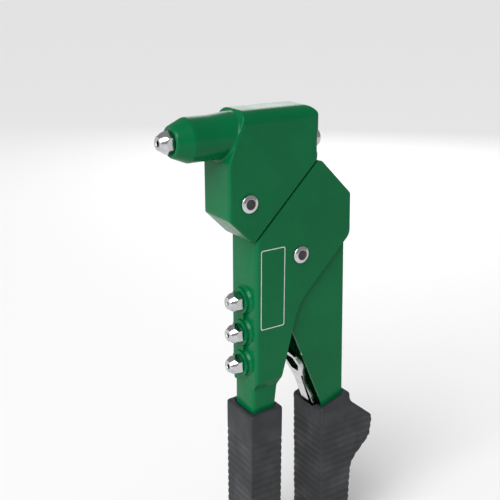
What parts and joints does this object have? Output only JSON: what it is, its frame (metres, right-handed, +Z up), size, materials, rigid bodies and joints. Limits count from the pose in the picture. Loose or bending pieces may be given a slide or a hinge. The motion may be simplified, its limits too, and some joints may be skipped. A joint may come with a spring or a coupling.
{
  "type": "hand riveter",
  "caption": "Lever hand riveter with a head that turns a full circle on a 45 degree split face, spare nosepieces on the handle and a wrench stored in the grip.",
  "frame": {"origin": "centre of the foot of the bounding box of the latched tool, with the handles down", "axes": "+X from the nose to the back of the tool, +Y across it, +Z up from the handles to the head"},
  "size_m": [0.1316, 0.0284, 0.2769],
  "materials": {
    "enamel": "glossy green enamel",
    "chrome": "bright nickel and chrome plate",
    "steel": "turned steel",
    "blacked_steel": "oil blacked steel",
    "rubber": "dark grey moulded rubber"
  },
  "bodies": {
    "front_handle": {"front_handle_shell": "enamel", "front_grip": "rubber", "swivel_bush": "steel", "swivel_nut": "blacked_steel", "swivel_washer": "steel", "spare_nosepiece_small": "chrome", "spare_nosepiece_medium": "chrome", "spare_nosepiece_large": "chrome", "latch_pin": "steel", "handle_pivot_pin": "chrome"},
    "head": {"head_housing": "enamel", "swivel_plate": "steel", "plate_screw_front": "blacked_steel", "plate_screw_rear": "blacked_steel", "nosepiece": "chrome", "crank_pin": "chrome", "spring_seat": "steel", "seat_screw": "chrome", "return_spring": "steel"},
    "rear_handle": {"rear_handle_shell": "enamel", "rear_grip": "rubber", "lever_fork": "blacked_steel", "fork_rivet": "steel"},
    "draw_bolt": {"draw_bolt": "blacked_steel", "draw_nut": "steel"},
    "crank": {"bell_crank": "blacked_steel"},
    "jaw_case": {"jaw_case": "steel", "draw_tube": "steel", "jaw_spring": "steel"},
    "jaws": {"jaw_1": "blacked_steel", "jaw_2": "blacked_steel", "jaw_3": "blacked_steel", "jaw_pusher": "steel"},
    "wrench": {"nosepiece_wrench": "chrome"},
    "latch": {"latch_bail": "chrome"}
  },
  "joints": [
    {"name": "head_swivel", "type": "hinge", "parent": "front_handle", "child": "head", "pos_m": [0.00094, 0, 0.229], "axis": [-0.7071, 0, 0.7071], "continuous": true},
    {"name": "handle_pivot", "type": "hinge", "parent": "front_handle", "child": "rear_handle", "pos_m": [0.01013, 0, 0.19859], "axis": [0, 1, 0], "range_deg": [-20, 0]},
    {"name": "draw_bolt_slide", "type": "slide", "parent": "front_handle", "child": "draw_bolt", "axis": [-0.7071, 0, 0.7071], "range_m": [0, 0.0052]},
    {"name": "crank_pivot", "type": "hinge", "parent": "head", "child": "crank", "pos_m": [-0.02233, 0, 0.23105], "axis": [0, 1, 0], "range_deg": [-20, 0]},
    {"name": "jaw_case_slide", "type": "slide", "parent": "head", "child": "jaw_case", "axis": [-1, 0, 0], "range_m": [0, 0.0118], "deforming": ["return_spring", "jaw_spring"]},
    {"name": "jaw_slide", "type": "slide", "parent": "head", "child": "jaws", "axis": [-1, 0, 0], "range_m": [0, 0.0098]},
    {"name": "wrench_slide", "type": "slide", "parent": "rear_handle", "child": "wrench", "axis": [-0.3923, 0, 0.9198], "range_m": [0, 0.028]},
    {"name": "latch_swing", "type": "hinge", "parent": "front_handle", "child": "latch", "pos_m": [-0.01136, 0, 0.0055], "axis": [0, 1, 0], "range_deg": [0, 120]}
  ],
  "couplings": [
    {"joint": "draw_bolt_slide", "follows": "handle_pivot", "m_per_rad": -0.0146},
    {"joint": "crank_pivot", "follows": "handle_pivot", "ratio": 1},
    {"joint": "jaw_case_slide", "follows": "handle_pivot", "m_per_rad": -0.0336},
    {"joint": "jaw_slide", "follows": "handle_pivot", "m_per_rad": -0.0278},
    {"joint": "latch_swing", "follows": "handle_pivot", "ratio": -6}
  ]
}
